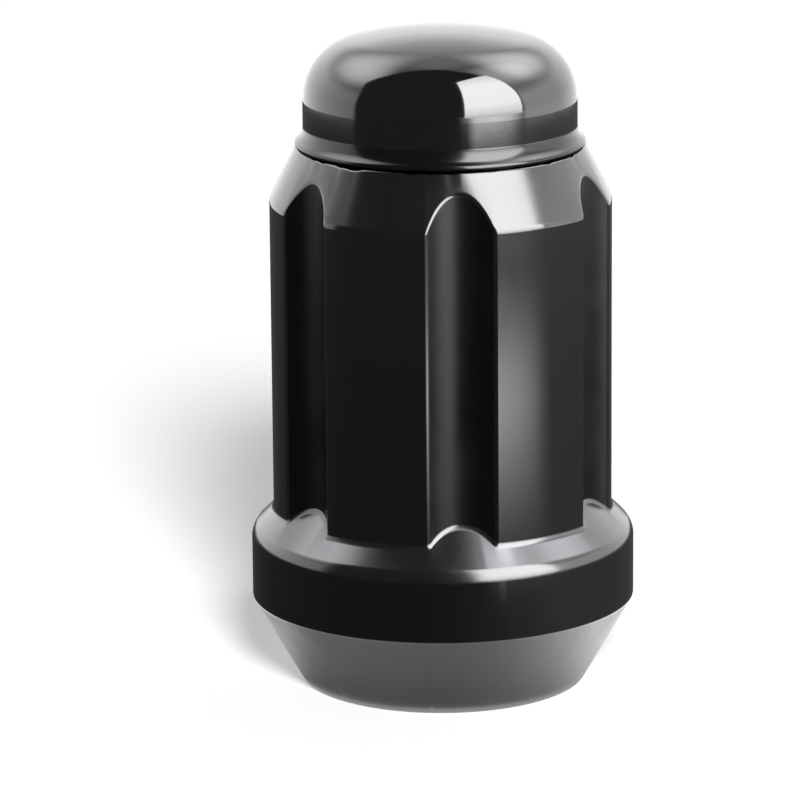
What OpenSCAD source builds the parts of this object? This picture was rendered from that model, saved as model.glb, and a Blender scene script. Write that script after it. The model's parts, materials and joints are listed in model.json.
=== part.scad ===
// Closed-end spline-drive lug nut with a bulge collar and a conical seat.
// A cold-formed threaded body carries a deep-drawn domed cap, welded to its top face.
// Units are millimetres. +Z runs up the thread axis, and the origin is the centre of the seat end.

/* [Thread] */
// Nominal diameter of the metric stud thread
thread_d = 12; // [10:0.5:12.5]
// Pitch of the stud thread
thread_pitch = 1.5; // [1:0.25:2]
// Diameter of the 45 degree lead-in at the mouth of the thread
lead_in_d = 12.9; // [12.6:0.1:15]
// Depth of the 45 degree relief at the inner end of the thread
thread_relief = 0.9; // [0.3:0.1:1.2]

/* [Seat] */
// Diameter of the small end of the conical seat
seat_end_d = 16.7; // [15.6:0.1:18]
// Included angle of the conical seat
seat_angle = 60; // [50:1:75]
// Edge break between the conical seat and the seat end
seat_edge_r = 0.3; // [0.1:0.05:0.5]

/* [Collar] */
// Diameter of the collar
collar_d = 22.6; // [21.6:0.1:25]
// Height of the collar's straight band, between its two sharp corners
collar_band_h = 4; // [2.5:0.1:6]
// Slope of the collar's top, from the horizontal
collar_slope = 45; // [35:1:55]
// Rounding of the collar's upper rim
collar_rim_r = 1.1; // [0.4:0.1:1.6]
// Rounding of the collar's lower edge
collar_foot_r = 0.4; // [0.2:0.1:1.6]

/* [Spline drive] */
// Diameter over the lobes
drive_d = 20; // [19:0.1:21]
// Number of flutes between the lobes
flute_count = 6; // [5:1:8]
// Width of a flute where it opens on the lobes
flute_w = 3.9; // [3:0.1:5]
// Depth of a flute below the lobes
flute_depth = 1; // [0.6:0.05:1.4]
// Break of the long edges between lobes and flutes
flute_edge = 0.2; // [0.1:0.05:0.4]
// Height of the body from the seat end to its top face
body_h = 32.1; // [26:0.1:45]
// Diameter of the body's top face, before its edge is broken
body_top_d = 16.9; // [16.5:0.1:18]
// Height of the conical shoulder between the lobes and the top face
shoulder_h = 3.2; // [2:0.1:5]
// Rounding where the shoulder meets the lobes
shoulder_r = 0.8; // [0.4:0.1:2]
// Edge break round the top face
body_top_edge_r = 0.25; // [0.1:0.05:0.4]

/* [Cap] */
// Height of the cap above the body's top face
cap_h = 6.9; // [6:0.1:12]
// Diameter of the cap's straight wall
cap_d = 16; // [15.4:0.1:16.5]
// Thickness of the drawn sheet
cap_wall = 1.2; // [0.8:0.1:1.6]
// Radius of the bend between the wall and the crown
cap_corner_r = 3; // [2.2:0.1:4]
// Radius of the shallow crown
cap_crown_r = 18; // [14:0.5:30]
// How far the bead at the cap's foot stands out from the wall
cap_bead_out = 0.48; // [0.34:0.02:0.6]
// Height of the bead
cap_bead_h = 0.46; // [0.3:0.02:0.6]
// Radius of the hollow flare from the wall down to the bead
cap_flare_r = 1.8; // [1.4:0.1:4]
// Gap that the weld leaves between the bead and the body's top face
weld_gap = 0.15; // [0.1:0.05:0.5]

/* [Hidden] */
$fn = 96;
// Cutters run this far past the faces that they cut
over = 1;
// The rebuilt thread is a plain bore at the basic minor diameter of a metric profile
minor_share = 1.0825;
bore_r = (thread_d - minor_share * thread_pitch) / 2;
lead_in_r = lead_in_d / 2;

seat_end_r = seat_end_d / 2;
collar_r = collar_d / 2;
seat_h = (collar_r - seat_end_r) / tan(seat_angle / 2);
collar_top_z = seat_h + collar_band_h;

drive_r = drive_d / 2;
flute_floor_r = drive_r - flute_depth;
// The collar's sloping top carries on under the flutes, so each flute ends on it in an arch
slope_inner_r = flute_floor_r - over;
slope_inner_z = collar_top_z + (collar_r - slope_inner_r) * tan(collar_slope);

body_top_r = body_top_d / 2;
shoulder_z = body_h - shoulder_h;

// A flute is an arc through its two mouth edges and its floor
flute_half_angle = asin(flute_w / 2 / drive_r);
flute_chord_r = drive_r * cos(flute_half_angle);
flute_sag = flute_chord_r - flute_floor_r;
flute_r = (pow(flute_w / 2, 2) + pow(flute_sag, 2)) / (2 * flute_sag);
flute_axis_r = flute_floor_r + flute_r;
// The edge break runs straight from a point on the flute's arc to a point on the lobe
mouth_turn = atan2(flute_w / 2, flute_axis_r - flute_chord_r);
break_turn = mouth_turn - flute_edge / flute_r * 180 / PI;
on_flute = [flute_r * sin(break_turn), flute_r * cos(break_turn) - flute_axis_r];
lobe_turn = flute_half_angle + flute_edge / drive_r * 180 / PI;
on_lobe = [drive_r * sin(lobe_turn), -drive_r * cos(lobe_turn)];
wedge_inner = on_flute - (on_lobe - on_flute);
wedge_outer = on_lobe + over * (on_lobe - on_flute) / norm(on_lobe - on_flute);

cap_r = cap_d / 2;
cap_top_z = body_h + cap_h;
crown_z = cap_top_z - cap_crown_r;
// The corner bend touches the wall and the crown, so its centre lies on a line from the crown's centre
bend_axis_r = cap_r - cap_corner_r;
bend_angle = acos(bend_axis_r / (cap_crown_r - cap_corner_r));
bend_z = crown_z + (cap_crown_r - cap_corner_r) * sin(bend_angle);
bead_r = cap_r + cap_bead_out;
bead_round = cap_bead_h / 2;
bead_z = body_h + weld_gap;
bead_top_z = bead_z + cap_bead_h;
flare_foot_r = bead_r - bead_round;
flare_sweep = acos(1 - (flare_foot_r - cap_r) / cap_flare_r);
flare_top_z = bead_top_z + cap_flare_r * sin(flare_sweep);

// Unit vector from one point of a section to another
function toward(from, to) = (to - from) / norm(to - from);

// How far a rounding's tangent point lies from the corner that it rounds
function tangent_length(before, corner, after, r) =
    let (turn = acos(toward(corner, before) * toward(corner, after)))
    r / tan(turn / 2);

// Closed section through the given points, with corner i rounded to radius rounds[i]; 0 leaves it sharp
module rounded_section(points, rounds) {
    last = len(points) - 1;
    before = [for (i = [0:last]) points[i == 0 ? last : i - 1]];
    after = [for (i = [0:last]) points[i == last ? 0 : i + 1]];
    reach = [for (i = [0:last])
        rounds[i] == 0 ? 0 : tangent_length(before[i], points[i], after[i], rounds[i])];
    enter = [for (i = [0:last]) points[i] + reach[i] * toward(points[i], before[i])];
    leave = [for (i = [0:last]) points[i] + reach[i] * toward(points[i], after[i])];
    polygon([for (i = [0:last]) each (rounds[i] == 0 ? [points[i]] : [enter[i], leave[i]])]);
    for (i = [0:last])
        if (rounds[i] > 0)
            rounded_corner(enter[i], points[i], leave[i], rounds[i]);
}

// The bow of material between a corner's chord and its arc
module rounded_corner(enter, corner, leave, r) {
    middle = (enter + leave) / 2;
    axis = corner + toward(corner, middle) * norm([norm(enter - corner), r]);
    intersection() {
        polygon([enter, corner, leave]);
        translate(axis)
            circle(r);
    }
}

// Seat, collar and the collar's sloping top, in one revolve
module seat_and_collar() {
    rotate_extrude()
        rounded_section([
            [0, 0],
            [seat_end_r, 0],
            [collar_r, seat_h],
            [collar_r, collar_top_z],
            [slope_inner_r, slope_inner_z],
            [0, slope_inner_z],
        ], [0, seat_edge_r, collar_foot_r, collar_rim_r, 0, 0]);
}

// Cross-section of one flute's cutter: the flute's arc, and a wedge that breaks its two long edges
module flute_section() {
    translate([0, -flute_axis_r])
        circle(flute_r);
    polygon([
        [-wedge_inner.x, wedge_inner.y],
        wedge_inner,
        wedge_outer,
        [-wedge_outer.x, wedge_outer.y],
    ]);
}

// Turned blank of the drive: straight over the lobes, then the conical shoulder and the top face
module drive_blank() {
    rotate_extrude()
        rounded_section([
            [0, collar_top_z],
            [drive_r, collar_top_z],
            [drive_r, shoulder_z],
            [body_top_r, body_h],
            [0, body_h],
        ], [0, 0, shoulder_r, body_top_edge_r, 0]);
}

// Spline drive: the blank with its flutes, which run out through the shoulder
module drive() {
    difference() {
        drive_blank();
        for (i = [0:flute_count - 1])
            rotate(i * 360 / flute_count)
                translate([0, 0, collar_top_z - over])
                    linear_extrude(height = body_h - collar_top_z + 2 * over)
                        flute_section();
    }
}

// Tapping bore with its lead-in at the mouth and its relief at the inner end
module thread_bore() {
    translate([0, 0, -over])
        cylinder(r = bore_r, h = body_h + 2 * over);
    rotate_extrude()
        polygon([
            [0, -over],
            [lead_in_r + over, -over],
            [bore_r, lead_in_r - bore_r],
            [0, lead_in_r - bore_r],
        ]);
    rotate_extrude()
        polygon([
            [0, body_h - thread_relief],
            [bore_r, body_h - thread_relief],
            [bore_r + thread_relief + over, body_h + over],
            [0, body_h + over],
        ]);
}

// Half-section of the dome, drawn in by an even thickness all over: the wall, the crown and the corner bend
module dome_section(inset) {
    wall_r = cap_r - inset;
    crown_r = cap_crown_r - inset;
    bend_r = cap_corner_r - inset;
    translate([0, body_h])
        square([wall_r, bend_z - body_h]);
    intersection() {
        translate([0, crown_z])
            circle(crown_r);
        translate([0, body_h])
            square([crown_r * cos(bend_angle), cap_h]);
    }
    intersection() {
        translate([bend_axis_r, bend_z])
            circle(bend_r);
        translate([bend_axis_r, body_h])
            square([cap_corner_r, cap_h]);
    }
}

// Foot of the cap: the weld neck, the rolled bead, and the hollow flare from the bead into the wall
module foot_section() {
    bead_w = cap_wall + flare_foot_r - cap_r;
    translate([cap_r - cap_wall, body_h])
        square([cap_wall, flare_top_z - body_h]);
    translate([cap_r - cap_wall, bead_z])
        square([bead_w, cap_bead_h]);
    translate([flare_foot_r, bead_z + bead_round])
        circle(bead_round);
    difference() {
        translate([cap_r - cap_wall, bead_top_z])
            square([bead_w, flare_top_z - bead_top_z]);
        translate([cap_r + cap_flare_r, flare_top_z])
            circle(cap_flare_r);
    }
}

module nut_body() {
    color("#2b2c2f")
        difference() {
            union() {
                seat_and_collar();
                drive();
            }
            thread_bore();
        }
}

module end_cap() {
    color("#34363a")
        rotate_extrude()
            difference() {
                union() {
                    dome_section(0);
                    foot_section();
                }
                dome_section(cap_wall);
            }
}

nut_body();
end_cap();
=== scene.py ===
# %% [markdown]
# # A black chrome lug nut
# A closed-end wheel nut is two pieces of steel. A cold-formed body carries the conical seat, the collar
# and the fluted drive, and a drawn cap is welded over its top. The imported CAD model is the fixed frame
# of this lesson. Each piece made here has its solid's place, and its form within about 0.2 mm, and adds
# what the solid leaves out: rounded edges, a real thread, an uneven weld and a plated finish.

# %% Load the frame
import json
import math

import bmesh
import bpy
from mathutils import Matrix, Vector, noise


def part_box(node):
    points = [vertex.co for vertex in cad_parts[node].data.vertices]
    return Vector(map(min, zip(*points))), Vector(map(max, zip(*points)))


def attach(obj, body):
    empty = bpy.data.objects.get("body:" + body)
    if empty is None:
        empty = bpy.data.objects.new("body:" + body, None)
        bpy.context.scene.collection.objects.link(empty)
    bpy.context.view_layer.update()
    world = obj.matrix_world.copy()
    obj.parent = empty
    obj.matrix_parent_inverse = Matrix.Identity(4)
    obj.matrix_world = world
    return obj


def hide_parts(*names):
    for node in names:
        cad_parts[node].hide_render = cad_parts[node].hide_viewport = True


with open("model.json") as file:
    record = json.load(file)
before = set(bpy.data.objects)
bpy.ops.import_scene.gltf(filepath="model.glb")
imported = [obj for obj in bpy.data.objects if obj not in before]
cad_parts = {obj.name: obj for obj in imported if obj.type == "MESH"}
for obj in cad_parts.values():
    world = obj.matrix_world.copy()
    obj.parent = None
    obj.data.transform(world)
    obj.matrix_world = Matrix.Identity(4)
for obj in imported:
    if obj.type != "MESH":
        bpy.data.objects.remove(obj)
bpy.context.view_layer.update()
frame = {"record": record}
MM = 0.001

# %% [markdown]
# ## Sizes
# What the frame knows is read from it: the boxes of the two solids and the mounts of the record. The
# rest are the nut's own drawing sizes, in millimetres. Reading the shared sizes keeps the lesson true
# to the CAD model, and the others are named once, so that each can be changed in one place.

# %% Read and derive the sizes
mounts = {mount["name"]: mount["dims"] for mount in frame["record"]["mounts"]}
body_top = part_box("nut_body")[1]
cap_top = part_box("end_cap")[1]
collar_r = body_top.x
body_h = body_top.z
lobe_r = mounts["spline_drive"]["r_mm"] * MM
bore_r = mounts["stud_thread"]["r_mm"] * MM
seat_h = mounts["wheel_seat"]["length_mm"] * MM
seat_angle = 60
seat_end_r = collar_r - seat_h * math.tan(math.radians(seat_angle / 2))
collar_band_h = 4.0 * MM
collar_top_z = seat_h + collar_band_h
shoulder_h = 3.2 * MM
body_top_r = 16.9 / 2 * MM
print("body height, collar radius, seat end radius in mm:",
      [round(size / MM, 2) for size in (body_h, collar_r, seat_end_r)])

# %% [markdown]
# ## Camera
# The nut fills the picture, seen from a little above and from about eight times its own height away, so
# the rings near its foot open wider than those near its top. The lens follows from the scale of the
# picture. The nut stands off-centre: a lens shift could do that, but turning the camera a little away
# from the nut's axis keeps the perspective of a plain camera.

# %% Camera
IMAGE_W, IMAGE_H = 801, 800
SENSOR_W = 36
view_azimuth = math.radians(-6.6)
view_elevation = math.radians(13.5)
view_roll = math.radians(-0.49)
view_distance = 300 * MM
pixels_per_metre = 17.01 / MM
axis_point = Vector((0, 0, 20 * MM))
axis_pixel = (441.4, 345.7)

back = Vector((math.sin(view_azimuth) * math.cos(view_elevation),
               -math.cos(view_azimuth) * math.cos(view_elevation),
               math.sin(view_elevation)))
camera_place = axis_point + back * view_distance
roll = Matrix.Rotation(view_roll, 3, "Z")
level = back.to_track_quat("Z", "Y").to_matrix() @ roll
right_shift = (axis_pixel[0] - IMAGE_W / 2) / pixels_per_metre
up_shift = (IMAGE_H / 2 - axis_pixel[1]) / pixels_per_metre
aim = axis_point - level.col[0] * right_shift - level.col[1] * up_shift
turn = (camera_place - aim).to_track_quat("Z", "Y").to_matrix() @ roll
camera_data = bpy.data.cameras.new("studio_camera")
camera_data.sensor_width = SENSOR_W
camera_data.lens = pixels_per_metre * view_distance * SENSOR_W / IMAGE_W
camera = bpy.data.objects.new("studio_camera", camera_data)
camera.matrix_world = Matrix.Translation(camera_place) @ turn.to_4x4()
bpy.context.scene.collection.objects.link(camera)
bpy.context.scene.camera = camera
print("lens", round(camera_data.lens, 1), "mm, camera", round(view_distance / MM), "mm away")

# %% [markdown]
# ## Drawing with arcs
# Both pieces start as a drawn line. A spin of one vertex draws an arc, and an extruded vertex draws a
# straight line, as a compass and a rule would. Extruding a closed line and laying the new line on a
# circle then gives one more turned surface. A ring at a time makes the body the way a lathe would, and
# every ring keeps the points of the one before, so the mesh stays closed.

# %% Drawing helpers
UP = Vector((0, 0, 1))
ORIGIN = Vector((0, 0, 0))
MERGE_GAP = 0.001 * MM


def verts_of(items):
    return [item for item in items if isinstance(item, bmesh.types.BMVert)]


def edges_of(items):
    return [item for item in items if isinstance(item, bmesh.types.BMEdge)]


def draw_arc(bm, vert, centre, axis, angle, steps):
    """Spin one vertex about a centre and return the end of the arc."""
    spun = bmesh.ops.spin(bm, geom=[vert], cent=centre, axis=axis, angle=angle, steps=steps)
    return verts_of(spun["geom_last"])[0]


def lay_ring(bm, loop, radius, height):
    """Extrude a closed line and lay the new line on a level circle."""
    made = bmesh.ops.extrude_edge_only(bm, edges=loop)["geom"]
    fresh = verts_of(made)
    for vert in fresh:
        out = Vector((vert.co.x, vert.co.y, 0)).normalized()
        vert.co = out * radius + UP * height
    kept = set(fresh)
    return [edge for edge in edges_of(made) if kept.issuperset(edge.verts)]


def round_loop(bm, loop, offset, segments):
    """Round a loop of edges: offset is how far from the sharp edge the round begins."""
    bmesh.ops.bevel(bm, geom=loop, offset=offset, offset_type="OFFSET", segments=segments, profile=0.5,
                    affect="EDGES", clamp_overlap=True, loop_slide=True, material=-1)


print("points closer than", MERGE_GAP / MM, "mm are merged")

# %% [markdown]
# ## The fluted drive
# The drive is a round bar with six flutes for a splined key. A boolean could cut them from a cylinder,
# but it leaves long thin faces. Here the outline is one closed line instead: a flute's arc, a lobe's arc,
# six times over. A flute's arc passes through its two mouth edges and its floor.

# %% Size the flutes
flute_count = 6
flute_w = 3.9 * MM
flute_depth = 1.0 * MM
flute_half_angle = math.asin(flute_w / 2 / lobe_r)
flute_chord_r = lobe_r * math.cos(flute_half_angle)
flute_floor_r = lobe_r - flute_depth
flute_sag = flute_chord_r - flute_floor_r
flute_r = ((flute_w / 2) ** 2 + flute_sag ** 2) / (2 * flute_sag)
flute_axis_r = flute_floor_r + flute_r
flute_sweep = 2 * math.atan2(flute_w / 2, flute_axis_r - flute_chord_r)
pitch_angle = math.tau / flute_count
lobe_sweep = pitch_angle - 2 * flute_half_angle
print("flute radius in mm:", round(flute_r / MM, 3))

# %% Draw the drive's outline
FLUTE_STEPS = 18
LOBE_STEPS = 14
nut = bmesh.new()
tip = nut.verts.new((-flute_w / 2, -flute_chord_r, 0))
corners = [tip]
for i in range(flute_count):
    flute_axis = Matrix.Rotation(i * pitch_angle, 3, "Z") @ Vector((0, -flute_axis_r, 0))
    tip = draw_arc(nut, tip, flute_axis, UP, -flute_sweep, FLUTE_STEPS)
    corners.append(tip)
    tip = draw_arc(nut, tip, ORIGIN, UP, lobe_sweep, LOBE_STEPS)
    corners.append(tip)
bmesh.ops.remove_doubles(nut, verts=nut.verts[:], dist=MERGE_GAP)
corners = [vert for vert in corners if vert.is_valid]
print("outline:", len(nut.verts), "points,", len(corners), "corners")

# %% [markdown]
# ## The drive's walls
# The walls are upright, so the outline is extruded once and its long edges are rounded. Each end is then
# slid along the axis until it lies on its cone: the collar's sloping top below and the shoulder above.
# That is just how the flutes run out, in an arch on the shoulder and a tongue on the collar, and no
# cutting is needed.

# %% Raise the drive's walls
flute_edge = 0.2 * MM
collar_slope_angle = 45
collar_slope = math.tan(math.radians(collar_slope_angle))
EDGE_SEGMENTS = 4


def shoulder_height(radius):
    return body_h - (radius - body_top_r) * shoulder_h / (lobe_r - body_top_r)


def collar_height(radius):
    return collar_top_z + (collar_r - radius) * collar_slope


walls = bmesh.ops.extrude_edge_only(nut, edges=nut.edges[:])["geom"]
bmesh.ops.translate(nut, verts=verts_of(walls), vec=UP * body_h)
corner_edges = [edge for vert in corners for edge in vert.link_edges
                if abs(edge.verts[0].co.z - edge.verts[1].co.z) > body_h / 2]
round_loop(nut, corner_edges, flute_edge, EDGE_SEGMENTS)
for vert in nut.verts:
    radius = math.hypot(vert.co.x, vert.co.y)
    vert.co.z = shoulder_height(radius) if vert.co.z > body_h / 2 else collar_height(radius)
open_edges = [edge for edge in nut.edges if edge.is_boundary]
middle_z = (collar_top_z + body_h) / 2
foot_loop = [edge for edge in open_edges if edge.verts[0].co.z < middle_z]
arch_loop = [edge for edge in open_edges if edge.verts[0].co.z > middle_z]
print("drive:", len(foot_loop), "edges at its foot,", len(corner_edges), "rounded edges")

# %% [markdown]
# ## Collar, seat and top face
# On the real nut these surfaces are turned or formed about one axis. From the foot of the drive the
# rings run out over the collar, down its band, in along the conical seat and across the end to the mouth
# of the thread. From the arches they run up the shoulder and across the top face. A separate revolved
# piece could be joined on, but rings that grow from the drive need no joining.

# %% Lay the rings
lead_in_r = 12.9 / 2 * MM
thread_relief = 0.9 * MM
mouth_depth = 0.2 * MM
relief_depth = 0.05 * MM
relief_r = bore_r + thread_relief
rim_loop = lay_ring(nut, foot_loop, collar_r, collar_top_z)
band_loop = lay_ring(nut, rim_loop, collar_r, seat_h)
end_loop = lay_ring(nut, band_loop, seat_end_r, 0)
mouth_loop = lay_ring(nut, end_loop, lead_in_r, 0)
mouth_inner_loop = lay_ring(nut, mouth_loop, lead_in_r - mouth_depth, mouth_depth)
top_loop = lay_ring(nut, arch_loop, body_top_r, body_h)
relief_loop = lay_ring(nut, top_loop, relief_r, body_h)
relief_inner_loop = lay_ring(nut, relief_loop, relief_r - relief_depth, body_h - relief_depth)
print("rings laid; faces", len(nut.faces))

# %% [markdown]
# ## Rounded edges
# No edge of a real nut is sharp, and each rounding catches a line of light. A bevel rounds each ring. It
# asks how far from the corner the round begins, so that length is worked out from the radius and from
# how far the surface turns there.

# %% Round the rings
COLLAR_RIM_R = 1.1
COLLAR_FOOT_R = 0.4
SEAT_EDGE_R = 0.3
TOP_EDGE_R = 0.25
TONGUE_OFFSET = 0.2 * MM
ARCH_OFFSET = 0.17 * MM
RIM_SEGMENTS = 8


def tangent_offset(radius_mm, turn_degrees):
    """How far from a corner its rounding begins, where the surface turns by the given angle."""
    return radius_mm * MM * math.tan(math.radians(turn_degrees) / 2)


shoulder_turn = math.degrees(math.atan2(lobe_r - body_top_r, shoulder_h))
round_loop(nut, rim_loop, tangent_offset(COLLAR_RIM_R, collar_slope_angle), RIM_SEGMENTS)
round_loop(nut, band_loop, tangent_offset(COLLAR_FOOT_R, seat_angle / 2), EDGE_SEGMENTS)
round_loop(nut, end_loop, tangent_offset(SEAT_EDGE_R, 90 - seat_angle / 2), EDGE_SEGMENTS)
round_loop(nut, top_loop, tangent_offset(TOP_EDGE_R, 90 - shoulder_turn), EDGE_SEGMENTS)
round_loop(nut, foot_loop, TONGUE_OFFSET, EDGE_SEGMENTS)
round_loop(nut, arch_loop, ARCH_OFFSET, EDGE_SEGMENTS)
print("shoulder turns", round(shoulder_turn, 1), "degrees; faces", len(nut.faces))

# %% [markdown]
# ## The thread
# An internal M12 x 1.5 thread is one profile wound up a helix, and its form follows from its pitch. A
# screw modifier could wind it, but its ends have to be joined to the body here. A spin with a small lift
# at each step winds one turn. Copies of that turn are stacked, and merging them closes the surface.

# %% Wind the thread
thread_pitch = 1.5 * MM
thread_major_r = 12 / 2 * MM
THREAD_STEPS = 72
crest_flat = thread_pitch / 4
root_flat = thread_pitch / 8
flank = (thread_pitch - crest_flat - root_flat) / 2
thread_turns = math.ceil(body_h / thread_pitch) + 2

body_verts = set(nut.verts)
profile = [(bore_r, 0), (bore_r, crest_flat), (thread_major_r, crest_flat + flank),
           (thread_major_r, crest_flat + flank + root_flat), (bore_r, thread_pitch)]
points = [nut.verts.new((radius, 0, height - thread_pitch)) for radius, height in profile]
lines = [nut.edges.new(pair) for pair in zip(points, points[1:])]
bmesh.ops.spin(nut, geom=points + lines, cent=ORIGIN, axis=UP, dvec=UP * thread_pitch / THREAD_STEPS,
               angle=math.tau, steps=THREAD_STEPS)
first_turn = [face for face in nut.faces if body_verts.isdisjoint(face.verts)]
for i in range(1, thread_turns):
    copied = bmesh.ops.duplicate(nut, geom=first_turn)["geom"]
    bmesh.ops.translate(nut, verts=verts_of(copied), vec=UP * thread_pitch * i)
thread_verts = [vert for vert in nut.verts if vert not in body_verts]
bmesh.ops.remove_doubles(nut, verts=thread_verts, dist=MERGE_GAP)
print("thread turns", thread_turns, "with", len(first_turn), "faces each")

# %% [markdown]
# ## The ends of the thread
# A countersink opens both ends of a tapped hole. Near the ends the crests are pressed out on to the
# lead-in and relief cones, so a level cut there leaves a true circle. Each cut is then bridged to the
# body's own ring, which makes the body and its thread one closed mesh.

# %% Open and join the thread's ends
CUT_GAP = 0.0001 * MM
thread_verts = [vert for vert in nut.verts if vert not in body_verts]
for vert in thread_verts:
    radius = math.hypot(vert.co.x, vert.co.y)
    lead_in_cone = lead_in_r - vert.co.z
    relief_cone = relief_r - (body_h - vert.co.z)
    wanted = max(radius, lead_in_cone, relief_cone)
    vert.co.x *= wanted / radius
    vert.co.y *= wanted / radius
for height, keep_up in ((mouth_depth, True), (body_h - relief_depth, False)):
    thread_faces = [face for face in nut.faces if body_verts.isdisjoint(face.verts)]
    thread_geom = list({item for face in thread_faces for item in [face, *face.edges, *face.verts]})
    bmesh.ops.bisect_plane(nut, geom=thread_geom, dist=CUT_GAP, plane_co=UP * height, plane_no=UP,
                           clear_inner=keep_up, clear_outer=not keep_up)
cut_edges = [edge for edge in nut.edges if edge.is_boundary and body_verts.isdisjoint(edge.verts)]
mouth_cut = [edge for edge in cut_edges if edge.verts[0].co.z < body_h / 2]
relief_cut = [edge for edge in cut_edges if edge.verts[0].co.z > body_h / 2]
bmesh.ops.bridge_loops(nut, edges=mouth_cut + mouth_inner_loop)
bmesh.ops.bridge_loops(nut, edges=relief_cut + relief_inner_loop)
print("edges at the thread's cuts:", len(mouth_cut), len(relief_cut))

# %% [markdown]
# ## The weld's edge
# The cap was welded on with a heavy current, so the edge of the top face is melted away in places. A
# bump map would leave the outline straight. A smooth noise that follows the angle round the nut lowers
# the edge itself here and there.

# %% Notch the top edge
NOTCH_DEPTH = 0.15 * MM
NOTCH_SEED = 3
COARSE_WAVES = 5
FINE_WAVES = 14
FINE_SEED_STEP = 7
FINE_SHARE = 0.6
EDGE_DEPTH = 0.3 * MM
EDGE_WIDTH = 0.2 * MM


def uneven(vert, seed):
    """A smooth value of about -1 to 1 that follows a vertex's angle round the axis."""
    out = Vector((vert.co.x, vert.co.y, 0)).normalized()
    coarse = noise.noise(out * COARSE_WAVES + UP * seed)
    fine = noise.noise(out * FINE_WAVES + UP * (seed + FINE_SEED_STEP))
    return coarse + FINE_SHARE * fine


top_edge = [vert for vert in nut.verts if vert.co.z > body_h - EDGE_DEPTH
            and math.hypot(vert.co.x, vert.co.y) > body_top_r - EDGE_WIDTH]
for vert in top_edge:
    vert.co.z -= NOTCH_DEPTH * max(0, uneven(vert, NOTCH_SEED))
print("top edge:", len(top_edge), "vertices")

# %% [markdown]
# ## From mesh to piece
# A finished piece is a closed mesh with its faces outwards. Polished metal shows every fault of shading,
# so large faces have to stay flat while the narrow roundings between them turn. Many more faces could do
# it, but weighted normals do it with the faces that are there.

# %% Finish the body's mesh
SHARP_ANGLE = math.radians(40)


def finish_piece(bm, name):
    """Turn a bmesh into an object of that name, with its faces outwards and its shading even."""
    bmesh.ops.recalc_face_normals(bm, faces=bm.faces[:])
    open_count = sum(not edge.is_manifold for edge in bm.edges)
    mesh = bpy.data.meshes.new(name)
    bm.to_mesh(mesh)
    bm.free()
    mesh.shade_smooth()
    mesh.set_sharp_from_angle(angle=SHARP_ANGLE)
    piece = bpy.data.objects.new(name, mesh)
    bpy.context.scene.collection.objects.link(piece)
    even = piece.modifiers.new("even_shading", "WEIGHTED_NORMAL")
    even.keep_sharp = True
    triangles = sum(len(face.vertices) - 2 for face in mesh.polygons)
    print(name, "triangles", triangles, "open edges", open_count)
    return piece


body = finish_piece(nut, "nut_body_plated")

# %% [markdown]
# ## The cap
# The cap is drawn from sheet: a shallow crown, a round bend, a short wall and a foot that flares smoothly
# into a bead, with a small lip below it where the weld begins. All of it is round, so only a half-section
# is needed. Its arcs touch each other without a corner, so their centres are worked out from the radii.

# %% Size the cap
cap_r = 16 / 2 * MM
cap_wall = 1.2 * MM
cap_corner_r = 3.6 * MM
cap_crown_r = 22 * MM
bead_round = 0.23 * MM
lip_r = 0.1 * MM
flare_r = 1.0 * MM
weld_gap = 0.08 * MM
cap_top_z = cap_top.z
bead_out_r = cap_top.x
bead_axis = Vector((bead_out_r - bead_round, 0, body_h + weld_gap + lip_r))
lip_axis = Vector((bead_out_r - lip_r, 0, bead_axis.z))
flare_turn = math.acos((cap_r + flare_r - bead_axis.x) / (flare_r + bead_round))
flare_rise = (flare_r + bead_round) * math.sin(flare_turn)
flare_axis = Vector((cap_r + flare_r, 0, bead_axis.z + flare_rise))
crown_axis = Vector((0, 0, cap_top_z - cap_crown_r))
bend_axis_r = cap_r - cap_corner_r
bend_angle = math.acos(bend_axis_r / (cap_crown_r - cap_corner_r))
bend_rise = (cap_crown_r - cap_corner_r) * math.sin(bend_angle)
bend_axis = crown_axis + Vector((bend_axis_r, 0, bend_rise))
crown_sweep = math.pi / 2 - bend_angle
print("cap's bend turns", round(math.degrees(bend_angle), 1), "degrees, its flare",
      round(math.degrees(flare_turn), 1))

# %% [markdown]
# ## The cap's half-section
# The line runs from the crown down the outside, round the bead and the weld's neck, and back up the
# inside. Two points close to the ends of the straight wall hold its shading flat, so that the wall
# mirrors like a true cylinder between the two bends.

# %% Draw the cap's half-section
ACROSS = Vector((0, 1, 0))
HOLD = 0.08 * MM
CROWN_STEPS, BEND_STEPS, FLARE_STEPS = 12, 20, 12
BEAD_STEPS = 5
INNER_BEND_STEPS, INNER_CROWN_STEPS = 12, 8


def draw_line(bm, vert, radius, height):
    """Extrude one vertex of a half-section to a new place and return it."""
    fresh = bmesh.ops.extrude_vert_indiv(bm, verts=[vert])["verts"][0]
    fresh.co = Vector((radius, 0, height))
    return fresh


shell = bmesh.new()
tip = shell.verts.new((0, 0, cap_top_z))
tip = draw_arc(shell, tip, crown_axis, ACROSS, crown_sweep, CROWN_STEPS)
tip = draw_arc(shell, tip, bend_axis, ACROSS, bend_angle, BEND_STEPS)
tip = draw_line(shell, tip, cap_r, bend_axis.z - HOLD)
tip = draw_line(shell, tip, cap_r, flare_axis.z + HOLD)
tip = draw_line(shell, tip, cap_r, flare_axis.z)
tip = draw_arc(shell, tip, flare_axis, ACROSS, -flare_turn, FLARE_STEPS)
tip = draw_arc(shell, tip, bead_axis, ACROSS, flare_turn, BEAD_STEPS)
tip = draw_arc(shell, tip, lip_axis, ACROSS, math.pi / 2, BEAD_STEPS)
tip = draw_line(shell, tip, cap_r, lip_axis.z - lip_r)
tip = draw_line(shell, tip, cap_r, body_h)
tip = draw_line(shell, tip, cap_r - cap_wall, body_h)
tip = draw_line(shell, tip, cap_r - cap_wall, bend_axis.z)
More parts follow.
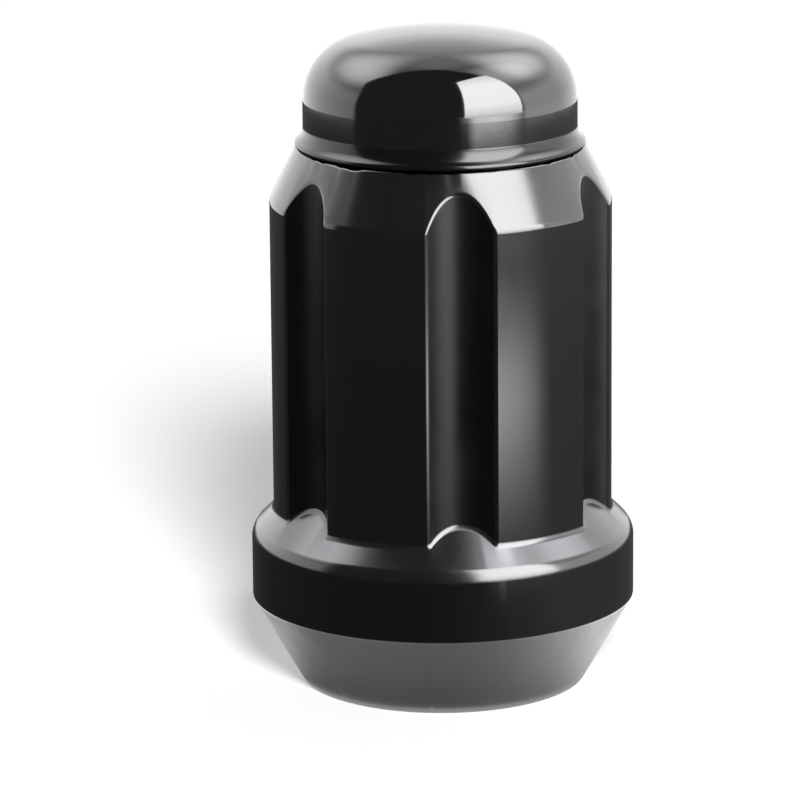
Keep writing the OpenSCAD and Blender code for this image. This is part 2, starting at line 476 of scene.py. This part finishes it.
tip = draw_arc(shell, tip, bend_axis, ACROSS, -bend_angle, INNER_BEND_STEPS)
tip = draw_arc(shell, tip, crown_axis, ACROSS, -crown_sweep, INNER_CROWN_STEPS)
print("half-section:", len(shell.verts), "points")

# %% [markdown]
# ## The spun cap and its weld
# One full spin turns the half-section into the shell, as a lathe turns a drawing into a part. The weld
# under the bead is uneven, so the lip's underside and the neck's top are then moved by the same smooth
# noise, and never so far that they reach the body.

# %% Spin the cap
CAP_STEPS = 256
BEAD_WAVE = 0.05 * MM
BEAD_SEED = 11
WELD_SAG = 0.02 * MM
LEAST_GAP = 0.015 * MM
TOUCH = 0.01 * MM
bmesh.ops.spin(shell, geom=shell.verts[:] + shell.edges[:], cent=ORIGIN, axis=UP, angle=math.tau,
               steps=CAP_STEPS, use_merge=True)
bmesh.ops.remove_doubles(shell, verts=shell.verts[:], dist=MERGE_GAP)
bead_low = [vert for vert in shell.verts if body_h + TOUCH < vert.co.z < bead_axis.z
            and math.hypot(vert.co.x, vert.co.y) > cap_r - TOUCH]
for vert in bead_low:
    depth = (lip_axis.z - vert.co.z) / lip_r
    sunk = vert.co.z + depth * (BEAD_WAVE * uneven(vert, BEAD_SEED) - WELD_SAG)
    vert.co.z = max(sunk, body_h + LEAST_GAP)
cap = finish_piece(shell, "end_cap_plated")
print("bead underside:", len(bead_low), "vertices")

# %% [markdown]
# ## Joining the frame
# The weld makes the nut one rigid body, so both pieces ride on the frame's one body. Each piece hides
# the solid it stands for, and a printed line names that solid and the slot of the record for its finish.

# %% Tie the pieces to the frame
TIES = ((body, "nut_body", "body_plating"), (cap, "end_cap", "cap_plating"))
for piece, node_name, slot_name in TIES:
    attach(piece, "root")
    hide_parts(node_name)
    print(piece.name, "stands for", node_name, "in slot", slot_name)

# %% [markdown]
# ## Black chrome
# Black chrome is a thin plate of chromium that reflects only part of the light, in a neutral grey. It
# takes the finish of the steel below it: bright where the nut was polished, satin where it was only
# formed. Node trees could be built by hand in the editor. Three small helpers keep them readable here:
# one for colours, one that adds a node and one that starts a material.

# %% Material helpers
def linear(hex_colour):
    """Turn an sRGB hex colour into the linear colour that shaders take."""
    shares = [int(hex_colour[i:i + 2], 16) / 255 for i in (1, 3, 5)]
    return [c / 12.92 if c <= 0.04045 else ((c + 0.055) / 1.055) ** 2.4 for c in shares] + [1]


def add_node(tree, kind, inputs, **settings):
    """Add a node with its settings; an input is a value or another node's output."""
    made = tree.nodes.new(kind)
    for name, value in settings.items():
        setattr(made, name, value)
    for name, value in inputs.items():
        if isinstance(value, bpy.types.NodeSocket):
            tree.links.new(value, made.inputs[name])
        else:
            made.inputs[name].default_value = value
    return made


def new_material(name):
    material = bpy.data.materials.new(name)
    material.use_nodes = True
    material.node_tree.nodes.clear()
    return material, material.node_tree


WHITE = linear("#ffffff")
print("white is", WHITE)

# %% [markdown]
# ## Plating
# One function makes every finish of the nut. Under the plate the steel is never quite flat: a fine
# orange peel, a few thousandths of a millimetre deep at most, frays the edges of what it mirrors. Broad
# clouds in the roughness are handling marks. A stretched grain is what the tool left: rings on a turned
# cone, lines along a drawn flute. Noise textures in millimetres keep all of it the same from any side.

# %% Plating
PEEL_SIZE = 0.45 * MM
GRAIN_SIZE = 0.12 * MM
CLOUD_SIZE = 3.5 * MM
GLOSSIER, DULLER = 0.85, 1.2


def speckle(tree, place, size, detail, roughness):
    """A noise with specks of the given size."""
    return add_node(tree, "ShaderNodeTexNoise", {
        "Vector": place, "Scale": 1 / size, "Detail": detail, "Roughness": roughness}).outputs["Fac"]


def plated(name, colour, roughness, peel_mm, grain, grain_mm):
    """A plated steel finish; grain scales x, y and z, so a small number draws the marks out that way."""
    material, tree = new_material(name)
    place = add_node(tree, "ShaderNodeTexCoord", {}).outputs["Object"]
    peel = speckle(tree, place, PEEL_SIZE, detail=2.0, roughness=0.5)
    stretched = add_node(tree, "ShaderNodeVectorMath", {0: place, 1: grain}, operation="MULTIPLY")
    marks = speckle(tree, stretched.outputs["Vector"], GRAIN_SIZE, detail=3.0, roughness=0.6)
    clouds = speckle(tree, place, CLOUD_SIZE, detail=4.0, roughness=0.6)
    gloss = add_node(tree, "ShaderNodeMapRange", {
        "Value": clouds, "From Min": 0.3, "From Max": 0.7,
        "To Min": roughness * GLOSSIER, "To Max": roughness * DULLER})
    uneven_peel = add_node(tree, "ShaderNodeBump", {
        "Height": peel, "Distance": peel_mm * MM, "Strength": 1.0}).outputs["Normal"]
    surface = add_node(tree, "ShaderNodeBump", {
        "Height": marks, "Distance": grain_mm * MM, "Strength": 1.0,
        "Normal": uneven_peel}).outputs["Normal"]
    shader = add_node(tree, "ShaderNodeBsdfPrincipled", {
        "Base Color": linear(colour), "Metallic": 1.0, "Roughness": gloss.outputs["Result"],
        "Normal": surface})
    add_node(tree, "ShaderNodeOutputMaterial", {"Surface": shader.outputs["BSDF"]})
    return material


print("peel, grain and clouds in mm:", [size / MM for size in (PEEL_SIZE, GRAIN_SIZE, CLOUD_SIZE)])

# %% [markdown]
# ## Finishes
# The plate is the same all over the nut, but the eye tells the surfaces apart by how sharply they
# mirror. So each way of making the steel has a finish of its own, with its own depth of peel and run of
# grain, and one roughness for the whole nut would look like plastic. The darker colours of the flutes
# and of the weld under the bead are partly painted shade.

# %% Finishes
EVEN = (1, 1, 1)
# The cap's dome: an almost clear mirror, which keeps the edges of the studio's cards sharp
polished = plated("black_chrome_polished", "#8b8a8b", 0.06, 0.0003, EVEN, 0.0001)
# The lobes and the collar's band: a dark mirror with a faint upright drag
bright = plated("black_chrome_bright", "#8b8a8b", 0.11, 0.0003, (1, 1, 0.1), 0.0002)
# The cap's flare and bead: greyer and duller than the dome, from the heat of the weld
tinted = plated("black_chrome_tinted", "#6c6b6c", 0.16, 0.0005, EVEN, 0.0003)
# The collar's sloping top: a soft grey sheen, in which the lights run into each other
formed = plated("black_chrome_formed", "#8f8e91", 0.21, 0.001, EVEN, 0.0004)
# The flutes: painted darker as the shade in their recesses, and drawn out along their length where the
# die has passed
drawn_and_shaded = plated("black_chrome_drawn_shaded", "#545352", 0.32, 0.002, (1, 1, 0.03), 0.0008)
# The conical seat: an even grey, broken up by the fine rings of the turning tool
turned = plated("black_chrome_turned", "#8c8b8a", 0.46, 0.004, (0.02, 0.02, 1), 0.0015)
# The thread: bare steel, dark with oil
tapped = plated("oiled_thread_steel", "#5e5d5b", 0.34, 0.002, (0.05, 0.05, 1), 0.0015)
# The weld: burnt steel, rough, and painted almost black as the shade in the crease under the bead
burnt_and_shaded = plated("burnt_weld_painted_shade", "#26231f", 0.55, 0.006, EVEN, 0.004)
# The shoulder and the collar's rim: highlights that are bright but have soft ends
satin = plated("black_chrome_satin", "#8b8a8b", 0.18, 0.001, EVEN, 0.0004)
for finish in (bright, formed, drawn_and_shaded, turned, tapped, satin):
    body.data.materials.append(finish)
for finish in (polished, tinted, burnt_and_shaded):
    cap.data.materials.append(finish)
print("finishes:", len(body.data.materials), "on the body,", len(cap.data.materials), "on the cap")

# %% [markdown]
# ## Which face has which finish
# A painter would mask the nut by hand. Here each face is known by where it lies and by how far it looks
# up, from -1 for straight down to 1 for straight up, so a few limits are enough, and they still hold
# when a size of the nut is changed.

# %% Choose the body's finishes
BRIGHT, FORMED, DRAWN_AND_SHADED, TURNED, TAPPED, SATIN = range(6)
SEAT_LOOK = -0.35
RIM_LOOK = 0.05
WALL_LOOK = 0.1
SHOULDER_LOOK = 0.3
SLOPE_LOOK = 0.6
CORNER_REACH = 0.5 * MM
FLUTE_LIP = 0.1 * MM


def body_finish(face):
    """The number of the body's finish that a face has, from where it lies and which way it looks."""
    radius = math.hypot(face.center.x, face.center.y)
    look = face.normal.z
    in_corner = radius < lobe_r + CORNER_REACH and look > RIM_LOOK
    if radius < lead_in_r and face.center.z < body_h:
        return TAPPED
    if look < SEAT_LOOK:
        return TURNED
    if face.center.z < collar_height(flute_floor_r):
        if in_corner or look > SLOPE_LOOK:
            return FORMED
        return SATIN if look > RIM_LOOK else BRIGHT
    # Flute walls take the darker finish, whose colour is painted shade in the recesses
    if abs(look) < WALL_LOOK and radius < lobe_r - FLUTE_LIP:
        return DRAWN_AND_SHADED
    return SATIN if look > SHOULDER_LOOK else BRIGHT


for face in body.data.polygons:
    face.material_index = body_finish(face)
print("faces bright, formed, drawn, turned, tapped, satin:",
      [sum(face.material_index == i for face in body.data.polygons) for i in range(SATIN + 1)])

# %% Choose the cap's finishes
POLISHED, TINTED, BURNT_AND_SHADED = range(3)
UNDERSIDE_LOOK = -0.5


def cap_finish(face):
    """The number of the cap's finish that a face has."""
    outside = math.hypot(face.center.x, face.center.y) > cap_r - cap_wall / 2
    # The lip's underside takes the weld's finish, whose near-black is partly painted shade under the bead
    if outside and face.center.z < lip_axis.z and face.normal.z < UNDERSIDE_LOOK:
        return BURNT_AND_SHADED
    return TINTED if outside and face.center.z < flare_axis.z else POLISHED


for face in cap.data.polygons:
    face.material_index = cap_finish(face)
print("faces polished, tinted, burnt:",
      [sum(face.material_index == i for face in cap.data.polygons) for i in range(BURNT_AND_SHADED + 1)])

# %% [markdown]
# ## Studio floor
# The nut stands on white paper. More lamps would whiten the paper and burn out the nut. Instead the
# camera and the plating see the paper a little brighter than it is lit, so that it reads as a white
# background and still keeps the soft shadow of the nut.

# %% Floor
PAPER_LIFT = 0.38
FLOOR_HALF = 3.0


def add_stage(bm, name, material):
    """Turn a bmesh into an object of the studio with one material."""
    mesh = bpy.data.meshes.new(name)
    bm.to_mesh(mesh)
    bm.free()
    mesh.materials.append(material)
    piece = bpy.data.objects.new(name, mesh)
    bpy.context.scene.collection.objects.link(piece)
    return piece


def maths(tree, operation, first, second=0.0, third=0.0):
    """The value of one sum of up to three numbers or outputs."""
    inputs = {0: first, 1: second, 2: third}
    return add_node(tree, "ShaderNodeMath", inputs, operation=operation).outputs[0]


def seen_share(tree):
    """One where a camera, mirror or glass ray looks, and nought for light that a surface scatters."""
    path = add_node(tree, "ShaderNodeLightPath", {})
    seen = path.outputs["Is Camera Ray"]
    for ray in ("Is Glossy Ray", "Is Transmission Ray"):
        seen = maths(tree, "MAXIMUM", seen, path.outputs[ray])
    return seen


paper, tree = new_material("white_paper")
lift = maths(tree, "MULTIPLY", seen_share(tree), PAPER_LIFT)
shader = add_node(tree, "ShaderNodeBsdfPrincipled", {
    "Base Color": linear("#f2f2f2"), "Roughness": 0.9, "Specular IOR Level": 0.0,
    "Emission Color": WHITE, "Emission Strength": lift})
add_node(tree, "ShaderNodeOutputMaterial", {"Surface": shader.outputs["BSDF"]})
sheet = bmesh.new()
bmesh.ops.create_grid(sheet, x_segments=1, y_segments=1, size=FLOOR_HALF)
add_stage(sheet, "floor", paper)
print("floor", FLOOR_HALF * 2, "m across")

# %% [markdown]
# ## World
# Beyond the paper lies the world. A backdrop would do as well, but a plain white world needs no shape:
# it is white to the camera and to mirrors, and only a weak fill to everything else. The plain Standard
# view then shows each colour about as it is written.

# %% World
WORLD_FILL = 0.15
world = bpy.data.worlds.new("studio")
world.use_nodes = True
bpy.context.scene.world = world
tree = world.node_tree
tree.nodes.clear()
strength = add_node(tree, "ShaderNodeMapRange", {
    "Value": seen_share(tree), "To Min": WORLD_FILL, "To Max": 1.0}).outputs[0]
sky = add_node(tree, "ShaderNodeBackground", {"Color": WHITE, "Strength": strength})
add_node(tree, "ShaderNodeOutputWorld", {"Surface": sky.outputs[0]})
bpy.context.scene.view_settings.view_transform = "Standard"
print("world fill", WORLD_FILL)

# %% [markdown]
# ## Lamp
# One broad lamp shines from about 30 degrees up and a little to the right of the camera. It lays the
# nut's soft shadow on the paper behind the nut, where it shows along the left side. An area lamp would
# fall off across the paper; a sun lights it evenly. The lamp is hidden from mirror rays, because what
# the plating mirrors are the cards of the next steps.

# %% Key lamp
KEY_ENERGY = 3.5
KEY_ANGLE = 12
KEY_WAY = Vector((-0.045, 0.86, -0.5))
key_data = bpy.data.lights.new("key_lamp", "SUN")
key_data.energy = KEY_ENERGY
key_data.angle = math.radians(KEY_ANGLE)
key = bpy.data.objects.new("key_lamp", key_data)
key.rotation_euler = KEY_WAY.to_track_quat("-Z", "Y").to_euler()
key.visible_glossy = False
bpy.context.scene.collection.objects.link(key)
print("key lamp", KEY_ENERGY, "W/m2, as wide as", KEY_ANGLE, "degrees of sky")

# %% [markdown]
# ## What the plating mirrors
# Polished metal shows its surroundings, so the studio is built of cards that only mirror rays see, all
# turned to face the camera. A photograph of a studio could light the nut, but drawn cards can be moved
# and read. Their light is drawn over two angles: the bearing, which is nought towards the camera and 90
# degrees to its right, and the elevation above the table.

# %% Card helpers
def hide_card(card):
    """Leave a card to mirror rays alone, and turn it to face the camera."""
    card.visible_camera = False
    card.visible_diffuse = False
    card.visible_shadow = False
    card.rotation_euler.z = view_azimuth


def ramp(tree, value, stops):
    """A curve through (place, height) stops, with places in the value's own unit."""
    low, high = stops[0][0], stops[-1][0]
    top = max(height for place, height in stops)
    share = add_node(tree, "ShaderNodeMapRange", {"Value": value, "From Min": low, "From Max": high})
    curve = add_node(tree, "ShaderNodeValToRGB", {"Fac": share.outputs[0]})
    while len(curve.color_ramp.elements) < len(stops):
        curve.color_ramp.elements.new(1.0)
    for element, (place, height) in zip(curve.color_ramp.elements, stops):
        element.position = (place - low) / (high - low)
        element.color = [height / top] * 3 + [1]
    return maths(tree, "MULTIPLY", curve.outputs["Color"], top)


def bearing_of(tree, parts):
    """The bearing of a place on a card, in degrees."""
    turn = maths(tree, "ARCTAN2", parts["X"], maths(tree, "MULTIPLY", parts["Y"], -1.0))
    return maths(tree, "DEGREES", turn)


def glowing(tree, strength):
    """End a card's material in a glow of the given strength."""
    shader = add_node(tree, "ShaderNodeEmission", {"Strength": strength})
    add_node(tree, "ShaderNodeOutputMaterial", {"Surface": shader.outputs[0]})


def horizon_glow(tree, bearing):
    """How bright the tent is where it meets the table: brightest at the back, and dark in front."""
    return ramp(tree, bearing, [
        (-180, 1.35), (-150, 1.25), (-132, 1.05), (-118, 0.8), (-103, 0.6), (-80, 0.42), (-77, 0.38),
        (-73, 0.0), (72, 0.0), (76, 0.78), (118, 0.78), (132, 1.0), (150, 1.2), (180, 1.35)])


print("cards face", round(math.degrees(view_azimuth), 1), "degrees from the front")

# %% [markdown]
# ## Light tent
# A tent of white cloth stands behind the nut and at both sides. It is brightest near the table and
# dimmer overhead, and three lamps glow through its cloth: two from the back corners and one above the
# softbox. Its front edge lies a little before the nut at the table and bends back with height, until it
# hangs above the nut. At the right it comes further forward. In front of it the studio is almost dark.

# %% Cloth of the tent
LAMP_HEIGHT = 18
TENT_EDGE = (-0.315, -0.285)
RIGHT_FORWARD = 0.35
DARK_STUDIO = 0.04


def lamp_glow(tree, bearing, elevation, aim, width, peak):
    """The glow of a lamp behind the cloth, about its (bearing, elevation), width degrees wide."""
    across = maths(tree, "MULTIPLY_ADD", bearing, 1 / width, -aim[0] / width)
    above = maths(tree, "MULTIPLY_ADD", elevation, 1 / LAMP_HEIGHT, -aim[1] / LAMP_HEIGHT)
    squares = maths(tree, "MULTIPLY_ADD", across, across, maths(tree, "MULTIPLY", above, above))
    glow = ramp(tree, maths(tree, "SQRT", squares), [
        (0.2, 1.0), (0.5, 0.85), (0.75, 0.62), (0.95, 0.35), (1.1, 0.16), (1.3, 0.0)])
    return maths(tree, "MULTIPLY", glow, peak)


tent_cloth, tree = new_material("tent_cloth")
place = add_node(tree, "ShaderNodeTexCoord", {}).outputs["Object"]
direction = add_node(tree, "ShaderNodeVectorMath", {0: place}, operation="NORMALIZE")
parts = add_node(tree, "ShaderNodeSeparateXYZ", {"Vector": direction.outputs["Vector"]}).outputs
bearing = bearing_of(tree, parts)
elevation = maths(tree, "DEGREES", maths(tree, "ARCSINE", parts["Z"]))
fall = ramp(tree, elevation, [
    (10, 1.0), (20, 1.03), (25, 0.86), (30, 0.63), (35, 0.48), (42, 0.37), (50, 0.33), (60, 0.3),
    (70, 0.3), (80, 0.28), (90, 0.22)])
cloth = maths(tree, "MULTIPLY_ADD", horizon_glow(tree, bearing), fall,
              lamp_glow(tree, bearing, elevation, (-119, 50), 46, 1.35))
cloth = maths(tree, "ADD", cloth, lamp_glow(tree, bearing, elevation, (132, 49), 36, 1.65))
cloth = maths(tree, "ADD", cloth, lamp_glow(tree, bearing, elevation, (98, 56), 32, 0.85))
bent_back = ramp(tree, elevation, [
    (5, 0.03), (15, 0.05), (25, 0.09), (30, 0.11), (42, 0.22), (61, 0.25), (75, 0.31), (90, 0.35)])
behind_edge = maths(tree, "SUBTRACT", parts["Y"], bent_back)
to_right = maths(tree, "MAXIMUM", parts["X"], 0.0)
behind_edge = maths(tree, "MULTIPLY_ADD", to_right, RIGHT_FORWARD, behind_edge)
covered = ramp(tree, behind_edge, [(TENT_EDGE[0], 0.0), (TENT_EDGE[1], 1.0)])
glowing(tree, maths(tree, "ADD", maths(tree, "MULTIPLY", cloth, covered), DARK_STUDIO))
print("tent cloth:", len(tree.nodes), "nodes")

# %% Shape of the tent
TENT_R = 1.6
dome = bmesh.new()
bmesh.ops.create_uvsphere(dome, u_segments=64, v_segments=32, radius=TENT_R)
bmesh.ops.bisect_plane(dome, geom=dome.verts[:] + dome.edges[:] + dome.faces[:], plane_co=ORIGIN,
                       plane_no=-UP, clear_outer=True)
hide_card(add_stage(dome, "light_tent", tent_cloth))
print("tent radius", TENT_R, "m")

# %% [markdown]
# ## Softbox
# A large softbox stands on the table at the right of the camera and leans over the nut. An area lamp
# would be seen only as a plain patch, so it is a card with a glow that is brightest halfway up. Its foot
# is an edge between two bearings, and its head is that edge extruded to two places in metres.

# %% Softbox
SOFTBOX_AWAY = 0.6
SOFTBOX_FOOT = (20, 71.5)
SOFTBOX_HEAD = (Vector((0.195, -0.44, 0.95)), Vector((0.58, -0.13, 1.24)))
softbox_cloth, tree = new_material("softbox_cloth")
place = add_node(tree, "ShaderNodeTexCoord", {}).outputs["Object"]
height = add_node(tree, "ShaderNodeSeparateXYZ", {"Vector": place}).outputs["Z"]
glowing(tree, ramp(tree, height, [
    (0.0, 1.7), (0.06, 2.5), (0.2, 3.3), (0.6, 3.4), (0.8, 3.1), (1.24, 2.1)]))
panel = bmesh.new()
foot_ends = [Vector((math.sin(turn), -math.cos(turn), 0)) * SOFTBOX_AWAY
             for turn in map(math.radians, SOFTBOX_FOOT)]
foot = panel.edges.new([panel.verts.new(end) for end in foot_ends])
head = bmesh.ops.extrude_edge_only(panel, edges=[foot])["geom"]
for vert, end in zip(verts_of(head), SOFTBOX_HEAD):
    vert.co = end
hide_card(add_stage(panel, "softbox_card", softbox_cloth))
print("softbox foot", [[round(c, 2) for c in end] for end in foot_ends])

# %% [markdown]
# ## Table
# The upright walls of the nut mirror the table, a card that only glows, with its light and shade painted
# into that glow. A dark mat lies round the nut's paper, with painted light that is least in front, and
# with the pool of light that the softbox throws on it. Beyond the mat's edge the white table is as
# bright as the tent and the softbox that stand on it. Close to the nut the paper itself lights the
# conical seat, with painted light by bearing and a painted contact shade right at the foot. Four real
# sheets could do this; one card with four glows by bearing and distance is simpler to change.

# %% Glow of the table
table_top, tree = new_material("table_top")
place = add_node(tree, "ShaderNodeTexCoord", {}).outputs["Object"]
bearing = bearing_of(tree, add_node(tree, "ShaderNodeSeparateXYZ", {"Vector": place}).outputs)
away = add_node(tree, "ShaderNodeVectorMath", {0: place}, operation="LENGTH").outputs["Value"]
away = maths(tree, "DIVIDE", away, MM)
# Painted light on the dark mat: its glow is least in front and more to the right, at the back and further
# out
mat_painted_light = ramp(tree, bearing, [
    (-180, 0.09), (-150, 0.08), (-120, 0.06), (-60, 0.038), (0, 0.038), (25, 0.06), (45, 0.1), (60, 0.14),
    (105, 0.13), (140, 0.12), (180, 0.09)])
mat = maths(tree, "MULTIPLY", mat_painted_light, ramp(tree, away, [(30, 0.7), (60, 0.75), (150, 1.0)]))
pool_round = ramp(tree, bearing, [
    (22, 0.0), (29, 1.15), (37, 1.0), (45, 0.88), (52, 0.7), (60, 0.46), (67, 0.15), (74, 0.0)])
pool_out = ramp(tree, away, [
    (36, 0.0), (46, 0.1), (54, 0.22), (64, 0.5), (74, 0.82), (84, 1.1), (91, 1.1), (97, 0.9), (104, 0.56),
    (113, 0.28), (126, 0.09), (175, 0.12), (180, 0.75), (184, 0.85)])
pool = maths(tree, "MULTIPLY", pool_round, pool_out)
# Painted light on the white table beyond the mat, brightest at the softbox's bearings
softbox_side = ramp(tree, bearing, [
    (15, 0.0), (25, 0.6), (32, 1.0), (45, 1.35), (60, 1.2), (67, 0.7), (76, 0.0)])
beyond = maths(tree, "MULTIPLY", maths(tree, "ADD", horizon_glow(tree, bearing), softbox_side),
               ramp(tree, away, [(185.5, 0.0), (187, 1.0)]))
# Painted light and shade on the paper round the foot: set by bearing, and dimmer right at the foot as
# painted contact shade
paper_painted_light_by_bearing = ramp(tree, bearing, [
    (-180, 0.9), (-120, 1.2), (-85, 0.9), (-70, 0.5), (-60, 0.38), (-45, 0.34), (0, 0.28), (15, 0.31),
    (30, 0.4), (45, 0.6), (60, 0.95), (75, 1.5), (100, 1.6), (140, 1.2), (180, 0.9)])
paper_painted_shade_by_distance = ramp(tree, away, [(8.8, 0.62), (10.5, 0.95), (13, 1.35), (17, 1.35), (20, 0.0)])
paper_painted_light = maths(tree, "MULTIPLY", paper_painted_light_by_bearing, paper_painted_shade_by_distance)
glowing(tree, maths(tree, "ADD", maths(tree, "ADD", mat, pool), maths(tree, "ADD", beyond, paper_painted_light)))
print("table glow:", len(tree.nodes), "nodes")

# %% Shape of the table
TABLE_R = 1.58
TABLE_SEGMENTS = 96
FOOT_CLEARANCE = 0.3 * MM
TABLE_LIFT = 0.1 * MM
table = bmesh.new()
inner = bmesh.ops.create_circle(table, segments=TABLE_SEGMENTS, radius=seat_end_r + FOOT_CLEARANCE)
inner_edges = {edge for vert in inner["verts"] for edge in vert.link_edges}
lay_ring(table, list(inner_edges), TABLE_R, 0)
table_card = add_stage(table, "table_card", table_top)
table_card.location.z = TABLE_LIFT
hide_card(table_card)
print("table card", TABLE_R, "m in radius")
